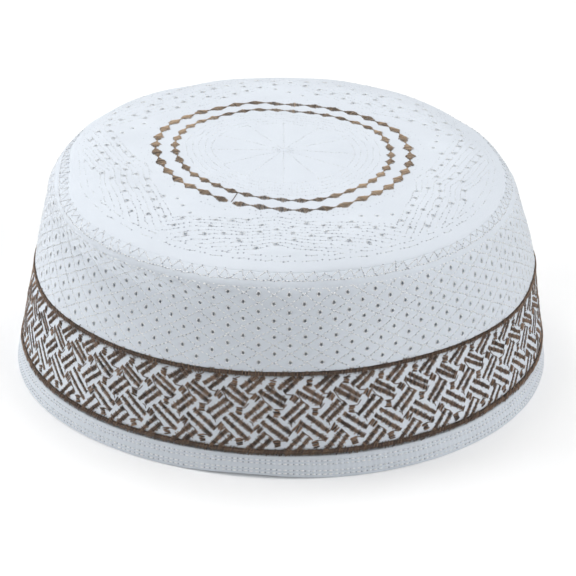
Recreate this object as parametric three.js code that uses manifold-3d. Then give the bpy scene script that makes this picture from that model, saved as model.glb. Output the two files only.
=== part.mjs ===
// Embroidered prayer cap: a stitched crown, a pierced side panel, a stiff embroidered headband
// and a bound hem, standing on its hem. Millimetres, +Z up, the front faces -Y.
// The origin is on the floor, under the middle of the cap.
import * as THREE from 'three';
import { mergeGeometries, mergeVertices } from 'three/addons/utils/BufferGeometryUtils.js';
import Module from 'manifold-3d';

const wasm = await Module();
wasm.setup();

// Outline of the cap: heights from piece to piece, radii to the outside of the cloth
const hemRadius = 95;
const hemHeight = 9;
const bandHeight = 26.6;
const bandTopRadius = 88.7;
const sideHeight = 34.2;
const crownRadius = 79.4;
const crownRise = 7.7;

// Cloth thicknesses and how far one piece reaches behind the next
const bindingCloth = 1;
const bandCloth = 2.4;
const sideCloth = 1.6;
const crownCloth = 1.8;
const sideTuck = 5;
const crownTuck = 3;
const clearance = 0.3;

// Satin borders, laid in a channel along each edge of the headband
const borderWidth = 1.9;
const borderProud = 0.4;
const borderBacking = 1;

// Eyelets: every second cell of the stitched lattice, in every second row
const cellsAround = 52;
const cellHeight = 6.1;
const cellPhase = 0.25;
const lowestEyelet = 4.1;
const eyeletRadius = 0.6;
const eyeletRows = 4;

// Two rings of satin diamonds on the crown
const diamondCount = 39;
const outerRingRadius = 44.7;
const ringSpacing = 6.8;
const diamondTip = 0.4;
const outerRing = { radius: outerRingRadius, halfWidth: 1.7 };
const innerRing = { radius: outerRingRadius - ringSpacing, halfWidth: 1.4 };
const diamondThickness = 0.5;

// Softness: how far the cloth strays from a true round, and how far the crown leans over
const outOfRound = 2;
const foldDepth = 3;
const crownTilt = 1.9;
const crownShift = 0.36;

const bandTop = hemHeight + bandHeight;
const crownEdge = bandTop + sideHeight;
const capHeight = crownEdge + crownRise;
const degrees = Math.PI / 180;
// Half the channel of a border, and what is left of the headband's cloth inside the binding
const borderHalf = borderWidth / 2 + clearance;
const bandTongue = bandCloth - bindingCloth - clearance;

// Headband outline: drop is the share of the way from the hem's radius to the band top's,
// up the share of the band top's height
const bandOutline = [
  { drop: 0, up: 0 },
  { drop: 0.3, up: 0.25 },
  { drop: 0.63, up: 0.62 },
  { drop: 1, up: 1 },
];
// Side panel outline: drop is the share of the way in to the crown seam, up the share of its height
const sideOutline = [
  { drop: 0.17, up: 0.37 },
  { drop: 0.38, up: 0.66 },
  { drop: 0.56, up: 0.86 },
  { drop: 1, up: 1 },
];
// Crown outline: reach is the share of the crown's radius, up the share of its rise
const crownOutline = [
  { reach: 0.84, up: 0.64 },
  { reach: 0.68, up: 0.75 },
  { reach: 0.38, up: 0.9 },
  { reach: 0, up: 1 },
];
// Out of round: at is a share of the cap's height, the others are shares of outOfRound
// for an oval and for a three-sided form, each with a front-to-back and a slanted part
const roundErrors = [
  { at: 0, oval: 0.6, ovalSlant: 0.3, three: -0.3, threeSlant: 0.4 },
  { at: 0.46, oval: 0.1, ovalSlant: -0.1, three: -0.2, threeSlant: -0.3 },
  { at: 0.75, oval: 0.8, ovalSlant: 0.9, three: 0.4, threeSlant: -0.2 },
  { at: 0.89, oval: 1.1, ovalSlant: -0.5, three: -0.4, threeSlant: 0.1 },
  { at: 1, oval: 0.1, ovalSlant: 0.5, three: 1, threeSlant: 0.1 },
];
// Folds: turn and spread are degrees round from the front, up and tall shares of the side panel's
// height, push a share of foldDepth, outwards where positive
const folds = [
  { turn: -40, spread: 24, up: 0.87, tall: 0.09, push: 0.45 },
  { turn: -27, spread: 20, up: 0.6, tall: 0.2, push: -0.5 },
  { turn: -16, spread: 6, up: 0.92, tall: 0.07, push: 0.3 },
  { turn: 34, spread: 16, up: 0.5, tall: 0.24, push: -0.25 },
  { turn: 128, spread: 20, up: 0.6, tall: 0.22, push: -0.3 },
  { turn: -118, spread: 24, up: 0.55, tall: 0.25, push: -0.3 },
];

// The outer skin: one smooth curve from the bottom edge up and over to the middle of the crown
function outerSkin() {
  const points = bandOutline.map(({ drop, up }) => (
    new THREE.Vector2(hemRadius + (bandTopRadius - hemRadius) * drop, bandTop * up)
  ));
  for (const { drop, up } of sideOutline) {
    const radius = bandTopRadius + (crownRadius - bandTopRadius) * drop;
    points.push(new THREE.Vector2(radius, bandTop + sideHeight * up));
  }
  for (const { reach, up } of crownOutline) {
    points.push(new THREE.Vector2(crownRadius * reach, crownEdge + crownRise * up));
  }
  return new THREE.SplineCurve(points);
}

const skin = outerSkin();
const skinSteps = 600;
skin.arcLengthDivisions = skinSteps;
const skinLength = skin.getLength();

// A point of the skin, so many mm of cloth up from the bottom edge and so deep inside its outer face
function skinPoint(along, depth) {
  const share = THREE.MathUtils.clamp(along / skinLength, 0, 1);
  const point = skin.getPointAt(share);
  const way = skin.getTangentAt(share);
  return new THREE.Vector2(point.x - way.y * depth, point.y + way.x * depth);
}

// How much cloth lies between the bottom edge and the given height of the skin
function alongAtHeight(height) {
  let low = 0;
  let high = skinLength;
  while (high - low > 0.001) {
    const middle = (low + high) / 2;
    if (skinPoint(middle, 0).y < height) low = middle;
    else high = middle;
  }
  return low;
}

// A point of a wall at a height, so deep inside the skin, measured level
function wallPoint(height, depth) {
  return new THREE.Vector2(skinPoint(alongAtHeight(height), 0).x - depth, height);
}

// Height of the crown's outer face at a distance from the middle
function crownHeight(reach) {
  let low = alongAtHeight(crownEdge);
  let high = skinLength;
  while (high - low > 0.001) {
    const middle = (low + high) / 2;
    if (skinPoint(middle, 0).x > reach) low = middle;
    else high = middle;
  }
  return skinPoint(low, 0).y;
}

function roundError(turn, share) {
  let next = roundErrors.findIndex((row) => row.at >= share);
  if (next < 0) next = roundErrors.length - 1;
  const above = roundErrors[next];
  const below = roundErrors[Math.max(next - 1, 0)];
  const mix = above === below ? 0 : (share - below.at) / (above.at - below.at);
  const blend = (name) => THREE.MathUtils.lerp(below[name], above[name], mix);
  return outOfRound * (blend('oval') * Math.cos(2 * turn) + blend('ovalSlant') * Math.sin(2 * turn)
    + blend('three') * Math.cos(3 * turn) + blend('threeSlant') * Math.sin(3 * turn));
}

function foldPush(turn, height) {
  const up = (height - bandTop) / sideHeight;
  let push = 0;
  for (const fold of folds) {
    const round = (turn / degrees - fold.turn + 540) % 360 - 180;
    push += fold.push * Math.exp(-((round / fold.spread) ** 2) - ((up - fold.up) / fold.tall) ** 2);
  }
  return foldDepth * push;
}

// Where a point of the true round cap lies on the soft one
function softPlace(x, y, z) {
  const radius = Math.hypot(x, y);
  const turn = Math.atan2(x, -y);
  const share = THREE.MathUtils.clamp(z / capHeight, 0, 1);
  const rim = Math.min(radius / (0.88 * crownRadius), 1);
  const reach = radius + rim * (roundError(turn, share) + foldPush(turn, z));
  const lean = share ** 1.3;
  const across = reach * Math.sin(turn) + crownShift * lean;
  return new THREE.Vector3(across, -reach * Math.cos(turn), z - Math.tan(crownTilt * degrees) * across * lean);
}

function soften(geometry) {
  const places = geometry.attributes.position;
  for (let i = 0; i < places.count; i += 1) {
    const place = softPlace(places.getX(i), places.getY(i), places.getZ(i));
    places.setXYZ(i, place.x, place.y, place.z);
  }
  geometry.computeVertexNormals();
  return geometry;
}

// One cloth ring or dome from its section, turned about the cap's middle
function turned(section) {
  return new THREE.LatheGeometry(section, cellsAround, Math.PI * (2 * cellPhase - 1) / cellsAround)
    .rotateX(Math.PI / 2);
}

function closedSection(points) {
  return [...points, points[0].clone()];
}

// The binding is folded round the bottom edge of the headband
function hemBinding() {
  const top = hemHeight - borderHalf;
  const tongue = bindingCloth + clearance;
  const inner = tongue + bandTongue + clearance;
  const rounding = bindingCloth / 2;
  return closedSection([
    wallPoint(0, rounding),
    wallPoint(rounding, 0),
    wallPoint(top, 0),
    wallPoint(top, bindingCloth),
    wallPoint(bindingCloth, bindingCloth),
    wallPoint(bindingCloth, inner),
    wallPoint(top, inner),
    wallPoint(top, inner + bindingCloth),
    wallPoint(0, inner + bindingCloth),
  ]);
}

// The headband's lower edge is thinned where the binding covers it
function headband() {
  const bottom = bindingCloth + clearance;
  const shoulder = hemHeight + borderHalf;
  const top = bandTop - borderHalf;
  const rise = top - shoulder;
  return closedSection([
    wallPoint(bottom, bindingCloth + clearance),
    wallPoint(shoulder, bindingCloth + clearance),
    wallPoint(shoulder, 0),
    wallPoint(shoulder + rise / 2, 0),
    wallPoint(top, 0),
    wallPoint(top, bandCloth),
    wallPoint(shoulder + rise / 2, bandCloth),
    wallPoint(shoulder, bandCloth),
    wallPoint(bottom, bandCloth),
  ]);
}

// A satin border is a low round cord, flat at the back
function border(height) {
  const half = borderWidth / 2;
  return closedSection([
    wallPoint(height - half, borderBacking),
    wallPoint(height - half, 0),
    wallPoint(height, -borderProud),
    wallPoint(height + half, 0),
    wallPoint(height + half, borderBacking),
  ]);
}

// The side panel runs from behind the headband up to its seam allowance under the crown
function sidePanel() {
  const tuckDepth = bandCloth + clearance;
  const tuckBottom = bandTop - sideTuck;
  const shelf = bandTop + borderHalf;
  const start = alongAtHeight(shelf);
  const seam = alongAtHeight(crownEdge) - clearance;
  const underCrown = crownCloth + clearance;
  const face = seam - start;
  const rows = [0.13, 0.3, 0.47, 0.64, 0.78, 0.9];
  const points = [wallPoint(tuckBottom, tuckDepth), wallPoint(shelf, tuckDepth), wallPoint(shelf, 0)];
  for (const row of rows) points.push(skinPoint(start + face * row, 0));
  points.push(skinPoint(seam, 0));
  for (const tuck of [0, crownTuck / 2, crownTuck]) points.push(skinPoint(seam + tuck, underCrown));
  points.push(skinPoint(seam + crownTuck, underCrown + sideCloth));
  points.push(skinPoint(seam - sideCloth, underCrown + sideCloth));
  for (const row of [0.78, 0.55, 0.3]) points.push(skinPoint(start + face * row, sideCloth));
  points.push(wallPoint(shelf + tuckDepth, sideCloth), wallPoint(shelf, tuckDepth + sideCloth));
  points.push(wallPoint(tuckBottom, tuckDepth + sideCloth));
  return closedSection(points);
}

// The crown closes on the axis above and below, with a turned-down lip at the seam
function crownPanel() {
  const seam = alongAtHeight(crownEdge);
  const reach = skinLength - seam;
  const lipRows = [0, crownTuck / 2, crownTuck];
  const underRows = [reach * 0.5, reach * 0.2, ...[...lipRows].reverse()];
  const outerRows = [...lipRows, reach * 0.12, reach * 0.2, reach * 0.32, reach * 0.5, reach * 0.75];
  return [
    new THREE.Vector2(0, capHeight - crownCloth),
    ...underRows.map((row) => skinPoint(seam + row, crownCloth)),
    ...outerRows.map((row) => skinPoint(seam + row, 0)),
    new THREE.Vector2(0, capHeight),
  ];
}

// Eyelets are short pins across the side panel, each in the middle of a lattice cell
function eyeletPins() {
  const pins = [];
  const length = 4 * sideCloth;
  const lowest = alongAtHeight(bandTop) + lowestEyelet;
  for (let row = 0; row < eyeletRows; row += 1) {
    for (let cell = row % 2; cell < cellsAround; cell += 2) {
      const turn = 2 * Math.PI * (cell + cellPhase) / cellsAround;
      const centre = skinPoint(lowest + row * cellHeight, sideCloth / 2);
      const place = softPlace(centre.x * Math.sin(turn), -centre.x * Math.cos(turn), centre.y);
      const pin = new THREE.CylinderGeometry(eyeletRadius, eyeletRadius, length, 6);
      pin.rotateZ(turn).translate(place.x, place.y, place.z);
      pins.push(pin);
    }
  }
  return mergeGeometries(pins);
}

function solidOf(geometry) {
  const plain = geometry.clone();
  plain.deleteAttribute('normal');
  plain.deleteAttribute('uv');
  const merged = mergeVertices(plain, 0.001);
  const mesh = new wasm.Mesh({
    numProp: 3,
    vertProperties: new Float32Array(merged.attributes.position.array),
    triVerts: new Uint32Array(merged.index.array),
  });
  return new wasm.Manifold(mesh);
}

function pierced(geometry, pins) {
  const mesh = solidOf(geometry).subtract(solidOf(pins)).getMesh();
  const cut = new THREE.BufferGeometry();
  cut.setAttribute('position', new THREE.BufferAttribute(new Float32Array(mesh.vertProperties), 3));
  cut.setIndex(new THREE.BufferAttribute(new Uint32Array(mesh.triVerts), 1));
  cut.computeVertexNormals();
  return cut;
}

// A ring of satin diamonds joined tip to tip, draped just above the crown
function diamondRing({ radius, halfWidth }) {
  const edge = (side) => Array.from({ length: 2 * diamondCount }, (_, i) => {
    const turn = Math.PI * i / diamondCount;
    const half = i % 2 === 0 ? halfWidth : diamondTip;
    return new THREE.Vector2((radius + side * half) * Math.sin(turn), -(radius + side * half) * Math.cos(turn));
  });
  const shape = new THREE.Shape(edge(1));
  shape.holes.push(new THREE.Path(edge(-1)));
  const ring = new THREE.ExtrudeGeometry(shape, { depth: diamondThickness, bevelEnabled: false });
  const places = ring.attributes.position;
  for (let i = 0; i < places.count; i += 1) {
    const seat = crownHeight(Math.hypot(places.getX(i), places.getY(i))) + clearance;
    places.setZ(i, places.getZ(i) + seat);
  }
  return ring;
}

const whiteCotton = { color: 0xe6ebf2, roughness: 0.85, metalness: 0 };
const brownSatin = { color: 0x6f5a49, roughness: 0.5, metalness: 0 };

function piece(name, geometry, finish) {
  const mesh = new THREE.Mesh(geometry, new THREE.MeshStandardMaterial(finish));
  mesh.name = name;
  return mesh;
}

const cap = new THREE.Group();
cap.name = 'prayer_cap';
cap.add(
  piece('crown_panel', soften(turned(crownPanel())), whiteCotton),
  piece('side_panel', pierced(soften(turned(sidePanel())), eyeletPins()), whiteCotton),
  piece('headband', soften(turned(headband())), whiteCotton),
  piece('hem_binding', soften(turned(hemBinding())), whiteCotton),
  piece('upper_border', soften(turned(border(bandTop))), brownSatin),
  piece('lower_border', soften(turned(border(hemHeight))), brownSatin),
  piece('outer_diamond_ring', soften(diamondRing(outerRing)), brownSatin),
  piece('inner_diamond_ring', soften(diamondRing(innerRing)), brownSatin),
);

export default cap;
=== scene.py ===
# Embroidered prayer cap: stitched and pierced white cotton with brown satin embroidery
import math

import bmesh
import bpy
import numpy as np
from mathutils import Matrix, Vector
from mathutils.geometry import delaunay_2d_cdt


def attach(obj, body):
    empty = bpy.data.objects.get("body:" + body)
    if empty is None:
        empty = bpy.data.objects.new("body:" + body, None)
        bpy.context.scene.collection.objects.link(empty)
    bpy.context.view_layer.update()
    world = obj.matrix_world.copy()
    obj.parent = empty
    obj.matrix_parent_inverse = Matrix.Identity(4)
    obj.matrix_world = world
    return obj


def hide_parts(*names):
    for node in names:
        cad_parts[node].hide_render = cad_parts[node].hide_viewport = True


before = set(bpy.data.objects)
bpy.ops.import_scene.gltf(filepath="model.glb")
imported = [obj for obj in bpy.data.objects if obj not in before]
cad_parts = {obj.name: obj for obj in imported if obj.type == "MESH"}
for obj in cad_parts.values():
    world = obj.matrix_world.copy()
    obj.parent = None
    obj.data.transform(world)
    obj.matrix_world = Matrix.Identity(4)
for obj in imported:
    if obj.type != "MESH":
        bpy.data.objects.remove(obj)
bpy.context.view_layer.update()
mm = 0.001
dice = np.random.default_rng(11)  # one seeded source for every ragged thread end
print("frame loaded:", sorted(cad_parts))

# The cap's form in millimetres and degrees, the same as the solids have
capForm = {
    "hemRadius": 95.0, "hemHeight": 9.0,
    "bandTopRadius": 88.7, "bandHeight": 26.6,
    "crownRadius": 79.4, "sideHeight": 34.2, "crownRise": 7.7,
    "outOfRound": 2.0, "foldDepth": 3.0, "crownTilt": 1.9, "crownShift": 0.36, "leanPower": 1.3,
    # share of the way in, share of the way up
    "bandOutline": [(0, 0), (0.3, 0.25), (0.63, 0.62), (1, 1)],
    "sideOutline": [(0.17, 0.37), (0.38, 0.66), (0.56, 0.86), (1, 1)],
    "crownOutline": [(0.84, 0.64), (0.68, 0.75), (0.38, 0.9), (0, 1)],
    # height share, oval, slanted oval, three-sided, slanted three-sided
    "roundErrors": [
        (0, 0.6, 0.3, -0.3, 0.4),
        (0.46, 0.1, -0.1, -0.2, -0.3),
        (0.75, 0.8, 0.9, 0.4, -0.2),
        (0.89, 1.1, -0.5, -0.4, 0.1),
        (1, 0.1, 0.5, 1, 0.1),
    ],
    # turn, spread, up, tall, push
    "folds": [
        (-40, 24, 0.87, 0.09, 0.45),
        (-27, 20, 0.6, 0.2, -0.5),
        (-16, 6, 0.92, 0.07, 0.3),
        (34, 16, 0.5, 0.24, -0.25),
        (128, 20, 0.6, 0.22, -0.3),
        (-118, 24, 0.55, 0.25, -0.3),
    ],
    "fullPush": 0.88,  # share of the crown's radius beyond which folds move the cloth in full
    # slack cloth: waves around, length of a wave up the cloth, phase, size
    "slack": [(5, 74, 0.4, 0.3), (9, 47, 2.1, 0.22), (14, 33, 1.2, 0.13), (23, 21, 4.0, 0.07)],
    "slackTwist": 2.7,  # how much faster a wave's phase turns up the cloth than around it
    "slackFade": (45, 12, 0.25),  # full beyond this radius, and this far up; least share at the bottom edge
    # softer dents that only the cloth has: turn, spread, millimetres up the cloth, tall, millimetres out
    "dents": [
        (-20, 22, 45, 9, -1.4),
        (-18, 22, 66, 7, 1.0),
        (50, 18, 43, 8, 0.8),
        (50, 20, 62, 8, -0.6),
        (-46, 18, 69, 2.5, 0.6),
        (180, 75, 112, 15, -0.55),
        (-96, 26, 42, 15, -0.8),
        (-107, 10, 43, 4, 0.5),
    ],
    "seamRise": (-86, 15, 4.0),  # where the crown's edge was pulled inward: turn, spread, millimetres
    "seamRiseFrom": 45,  # radius from which the crown's sewing follows its edge
    "hemRise": (-7, 11, 1.2),  # where the hem stands a little off the floor: turn, spread, millimetres
    "hemRiseReach": 9,  # how far up the cloth that is felt
    "curveSteps": 60, "normalStep": 0.3,
}
bandTop = capForm["hemHeight"] + capForm["bandHeight"]
crownEdge = bandTop + capForm["sideHeight"]
capHeight = crownEdge + capForm["crownRise"]


def between(one, two, share):
    return one + (two - one) * share


def roundSpot(radius, angle):  # flat coordinates from a radius and an angle, in radians from the front
    return np.column_stack([radius * np.sin(angle), -radius * np.cos(angle)])


def lengthAlong(path):
    return np.concatenate([[0], np.cumsum(np.hypot(*np.diff(path, axis=0).T))])


def nearness(turn, middle, spread, up=0.0, height=0.0, tall=1.0):  # 1 at a place, less away from it
    off = (np.asarray(turn, float) - middle + 540) % 360 - 180
    return np.exp(-((off / spread) ** 2) - ((up - height) / tall) ** 2)


def skinPoints():
    form = capForm
    points = []
    for drop, up in form["bandOutline"]:
        points.append((between(form["hemRadius"], form["bandTopRadius"], drop), bandTop * up))
    for drop, up in form["sideOutline"]:
        points.append((between(form["bandTopRadius"], form["crownRadius"], drop),
                       bandTop + form["sideHeight"] * up))
    for reach, up in form["crownOutline"]:
        points.append((form["crownRadius"] * reach, crownEdge + form["crownRise"] * up))
    return np.array(points)


def splineThrough(points, steps):
    last = len(points) - 1
    rows = []
    for i in range(last):
        before, here, there, after = (points[min(max(i + k, 0), last)] for k in (-1, 0, 1, 2))
        t = np.arange(steps)[:, None] / steps
        wayIn, wayOut = (there - before) / 2, (after - here) / 2
        rows.append((2 * here - 2 * there + wayIn + wayOut) * t**3
                    + (3 * there - 3 * here - 2 * wayIn - wayOut) * t**2 + wayIn * t + here)
    return np.vstack([*rows, points[-1:]])


skinCurve = splineThrough(skinPoints(), capForm["curveSteps"])
skinAlong = lengthAlong(skinCurve)
skinWay = np.gradient(skinCurve, skinAlong, axis=0)
skinWay /= np.linalg.norm(skinWay, axis=1)[:, None]
crownStart = int(np.argmax(skinCurve[:, 1] >= crownEdge - 0.001))


def alongAtHeight(height):
    return float(np.interp(height, skinCurve[:crownStart + 1, 1], skinAlong[:crownStart + 1]))


hemAlong = alongAtHeight(capForm["hemHeight"])
bandAlong = alongAtHeight(bandTop)
seamAlong = float(skinAlong[crownStart])


def radiusAt(along):
    return np.interp(along, skinAlong, skinCurve[:, 0])


def mmPerDegree(along):
    return radiusAt(along) * math.pi / 180


def soften(points):  # puts a point of the true round cap where the soft one has it
    form = capForm
    x, y, z = points.T
    radius = np.hypot(x, y)
    turn = np.arctan2(x, -y)
    share = np.clip(z / capHeight, 0, 1)
    errors = np.array(form["roundErrors"])
    oval, ovalSlant, three, threeSlant = (np.interp(share, errors[:, 0], errors[:, k]) for k in range(1, 5))
    push = form["outOfRound"] * (oval * np.cos(2 * turn) + ovalSlant * np.sin(2 * turn)
                                 + three * np.cos(3 * turn) + threeSlant * np.sin(3 * turn))
    up = (z - bandTop) / form["sideHeight"]
    for foldTurn, spread, foldUp, tall, size in form["folds"]:
        near = nearness(np.degrees(turn), foldTurn, spread, up, foldUp, tall)
        push = push + form["foldDepth"] * size * near
    reach = radius + np.minimum(radius / (form["fullPush"] * form["crownRadius"]), 1) * push
    lean = share ** form["leanPower"]
    across = reach * np.sin(turn) + form["crownShift"] * lean
    drop = math.tan(math.radians(form["crownTilt"])) * across * lean
    return np.column_stack([across, -reach * np.cos(turn), z - drop])


def slackAt(turn, along):  # how far slack cloth stands out, in millimetres
    fullRadius, fullUp, least = capForm["slackFade"]
    total = 0
    for count, length, phase, size in capForm["slack"]:
        wave = np.sin(2 * np.pi * along / length + capForm["slackTwist"] * phase)
        total = total + size * np.sin(count * np.radians(turn) + phase) * wave
    total = total * np.clip(radiusAt(along) / fullRadius, 0, 1) * np.clip(along / fullUp, least, 1)
    for middle, spread, height, tall, size in capForm["dents"]:
        total = total + size * nearness(turn, middle, spread, along, height, tall)
    return total


def seamRise(turn):
    middle, spread, size = capForm["seamRise"]
    return size * nearness(turn, middle, spread)


def clothPoint(turn, along, lift=0.0):  # lift is out of the cloth, in millimetres
    turn, along, lift = np.broadcast_arrays(np.asarray(turn, float), along, lift)
    out = lift + slackAt(turn, along)
    wayIn, wayUp = (np.interp(along, skinAlong, skinWay[:, k]) for k in (0, 1))
    radius = radiusAt(along) + wayUp * out
    height = np.interp(along, skinAlong, skinCurve[:, 1]) - wayIn * out
    points = soften(np.column_stack([roundSpot(radius, np.radians(turn)), height]))
    middle, spread, size = capForm["hemRise"]
    fade = np.clip(1 - along / capForm["hemRiseReach"], 0, 1)
    points[:, 2] += size * nearness(turn, middle, spread) * fade
    return points


def clothNormal(turn, along):
    step = capForm["normalStep"]
    perDegree = np.maximum(radiusAt(along), 2) * math.pi / 180
    around = clothPoint(turn + step / perDegree, along) - clothPoint(turn - step / perDegree, along)
    up = clothPoint(turn, along + step) - clothPoint(turn, along - step)
    normal = np.cross(around, up)
    return normal / np.linalg.norm(normal, axis=1)[:, None]


def crownPlace(x, y):  # flat crown coordinates to turn and cloth length
    radius = np.hypot(x, y)
    inward = skinCurve[crownStart:, 0][::-1]
    along = np.interp(radius, inward, skinAlong[crownStart:][::-1])
    turn = np.degrees(np.arctan2(x, -y))
    start = capForm["seamRiseFrom"]
    nearEdge = np.clip((radius - start) / (inward[-1] - start), 0, 1)
    return turn, along + seamRise(turn) * nearEdge**2


print("form ready: bottom edge to crown", round(skinAlong[-1], 1), "mm of cloth")


def addToScene(made):
    bpy.context.scene.collection.objects.link(made)
    return made


def makeMesh(name, points, faces, uv=None, marks=None, smooth=True):
    mesh = bpy.data.meshes.new(name)
    mesh.from_pydata((np.asarray(points) * mm).tolist(), [], faces)
    loopPoints = np.zeros(len(mesh.loops), np.int32)
    mesh.loops.foreach_get("vertex_index", loopPoints)
    if uv is not None:
        layer = mesh.uv_layers.new(name="clothMap")
        layer.data.foreach_set("uv", np.asarray(uv, np.float32)[loopPoints].ravel())
    for mark, values in (marks or {}).items():
        mesh.attributes.new(mark, "FLOAT", "POINT").data.foreach_set("value", np.asarray(values, np.float32))
    mesh.polygons.foreach_set("use_smooth", [smooth] * len(mesh.polygons))
    mesh.update()
    return addToScene(bpy.data.objects.new(name, mesh))


def thicken(piece, thickness):
    shell = piece.modifiers.new("clothThickness", "SOLIDIFY")
    shell.thickness = thickness * mm
    shell.offset = -1


def dress(piece, material, slot, *nodes):
    piece.data.materials.append(material)
    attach(piece, "root")
    if nodes:
        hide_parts(*nodes)
    print("made", piece.name, len(piece.data.polygons), "faces")


# Cross-sections along a thread: share of its length, of its width, of its height and of its arch
stitchShape = [(0, 0.65, 0.1, -0.4), (0.5, 1, 1, 0.8), (1, 0.65, 0.1, -0.4)]
satinShape = [(0, 0.75, 0.35, 0.05), (0.15, 1, 1, 0.8), (0.85, 1, 1, 0.8), (1, 0.75, 0.35, 0.05)]
spokeShape = [(0, 0.6, 0.3, -0.15), (0.5, 1, 1, 1), (1, 0.6, 0.3, -0.15)]
padShape = [(-0.04, 1, 1, 0), (1.04, 1, 1, 0)]
plainShape = [(0, 1, 1, 0), (1, 1, 1, 0)]
cordShape = [(0, 0.7, 0.4, -0.2), (0.22, 1, 0.95, 0.7), (0.5, 1, 1, 1), (0.78, 1, 0.95, 0.7),
             (1, 0.7, 0.4, -0.2)]
threadLook = {
    "sides": 3,
    "holeSides": 6, "holeSpread": (0.6, 1.2),
    "holeTop": 0.3,  # share of the rim's lift that the middle of a hole has
    # painted sheen: each satin thread lighter or darker, as it catches the light
    "paintedSheen": (0.26, 0.14),  # how much lighter or darker a satin thread is, and its spread
}


def threads(starts, ends, normals, width, height, arch, shape):
    sides = threadLook["sides"]
    count = len(starts)
    width, height, arch = (np.broadcast_to(v, count)[:, None] for v in (width, height, arch))
    ahead = ends - starts
    length = np.linalg.norm(ahead, axis=1)
    across = np.cross(ahead, normals)
    across /= np.maximum(np.linalg.norm(across, axis=1), 1e-9)[:, None]
    points, uv = [], []
    for at, wide, tall, lift in shape:
        centre = starts + ahead * at + normals * arch * lift
        for angle in np.linspace(0, math.pi, sides):
            points.append(centre + across * (width * wide * math.cos(angle) / 2)
                          + normals * (height * tall * math.sin(angle)))
            uv.append(np.column_stack([length * at, np.full(count, angle / math.pi)]))
    perThread = len(points)
    points = np.stack(points, 1).reshape(-1, 3)
    uv = np.stack(uv, 1).reshape(-1, 2)
    base = np.arange(count)[:, None] * perThread
    quads = []
    for i in range(len(shape) - 1):
        for k in range(sides):
            one, two = i * sides + k, i * sides + (k + 1) % sides
            quads.append(base + np.array([one, two, two + sides, one + sides]))
    caps = [base + np.arange(sides)[::-1], base + np.arange(sides) + perThread - sides]
    faces = np.concatenate(quads).tolist() + np.concatenate(caps).tolist()
    return points, faces, uv, perThread


def clothAxes(normals, guide):  # two directions in the cloth, square to each other
    side = np.cross(normals, guide)
    side /= np.linalg.norm(side, axis=1)[:, None]
    return side, np.cross(normals, side)


# Needle holes are painted shade: dark discs that stand for the shadow inside each hole
def needleHoles(centres, normals, radius, lift):  # small dark dimples, closed below
    sides = threadLook["holeSides"]
    count = len(centres)
    radius = np.broadcast_to(radius, count)[:, None]
    side, other = clothAxes(normals, [0.3, 0.2, 1.0])
    points = [centres + normals * lift + side * radius * math.cos(angle) + other * radius * math.sin(angle)
              for angle in np.arange(sides) * 2 * math.pi / sides]
    points.append(centres + normals * lift * threadLook["holeTop"])
    points.append(centres - normals * radius)
    perHole = len(points)
    points = np.stack(points, 1).reshape(-1, 3)
    base = np.arange(count)[:, None] * perHole
    faces = [base + np.array([k, (k + 1) % sides, sides]) for k in range(sides)]
    faces += [base + np.array([(k + 1) % sides, k, sides + 1]) for k in range(sides)]
    return points, np.concatenate(faces).tolist(), np.zeros((len(points), 2)), perHole


class ThreadWork:  # gathers threads and needle holes into one joined mesh
    def __init__(self):
        self.points, self.faces, self.uv, self.tone, self.hole = [], [], [], [], []
        self.size = 0

    def take(self, made, tone, hole):
        points, faces, uv, each = made
        self.points.append(points)
        self.faces += [[i + self.size for i in face] for face in faces]
        self.uv.append(uv)
        self.tone.append(np.repeat(np.broadcast_to(tone, len(points) // each), each))
        self.hole.append(np.full(len(points), hole))
        self.size += len(points)

    def sew(self, starts, ends, normals, width, height, arch, shape, tone):
        self.take(threads(starts, ends, normals, width, height, arch, shape), tone, 0.0)

    def prick(self, centres, normals, radius, lift, share):  # only a share of the holes stay open
        stays = dice.random(len(centres)) < share
        sizes = np.broadcast_to(radius, len(centres))[stays]
        sizes = sizes * dice.uniform(*threadLook["holeSpread"], stays.sum())
        self.take(needleHoles(centres[stays], normals[stays], sizes, lift), 0.5, 1.0)

    def piece(self, name):
        marks = {"tone": np.concatenate(self.tone), "hole": np.concatenate(self.hole)}
        return makeMesh(name, np.vstack(self.points), self.faces, np.vstack(self.uv), marks)


def ragged(count, size):
    return dice.normal(0, size, count)


# painted sheen
def lightOrDark(count):  # satin threads catch the light one by one
    step, spread = threadLook["paintedSheen"]
    return step * dice.choice([-1, 1], count) + ragged(count, spread)


# Shader groups, each built once and used with its own values in several materials
groupLook = {
    "wobbleScale": 0.9, "wobbleDetail": 2.0,  # how the yarns run out of line
    "crossings": 0.35, "ribs": 0.3,  # how high yarns stand where they cross, and along their length
    "wearFrom": 0.35, "wearTo": 0.75, "wearDetail": 4.0, "wearRoughness": 0.6,
    "strandShade": 0.25,  # light and dark of the strands in a thread
}


def newGroup(name, inputs, outputs):
    group = bpy.data.node_groups.new(name, "ShaderNodeTree")
    for label, kind, value in inputs:
        socket = group.interface.new_socket(label, in_out="INPUT", socket_type=kind)
        if value is not None:
            socket.default_value = value
    for label, kind in outputs:
        group.interface.new_socket(label, in_out="OUTPUT", socket_type=kind)
    return group, group.nodes.new("NodeGroupInput").outputs, group.nodes.new("NodeGroupOutput")


def setSockets(tree, made, values):  # by name or number: a socket is linked, any other value is set
    for name, value in values.items():
        if isinstance(value, bpy.types.NodeSocket):
            tree.links.new(value, made.inputs[name])
        else:
            made.inputs[name].default_value = value


def node(tree, kind, settings, values):
    made = tree.nodes.new(kind)
    for name, value in settings.items():
        setattr(made, name, value)
    setSockets(tree, made, values)
    return made


def mathNode(tree, operation, *values):
    return node(tree, "ShaderNodeMath", {"operation": operation}, dict(enumerate(values))).outputs[0]


def vectorNode(tree, operation, values):
    return node(tree, "ShaderNodeVectorMath", {"operation": operation}, values).outputs[0]


def mixColour(tree, factor, one, two):
    return node(tree, "ShaderNodeMix", {"data_type": "RGBA"}, {0: factor, 6: one, 7: two}).outputs[2]


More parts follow.
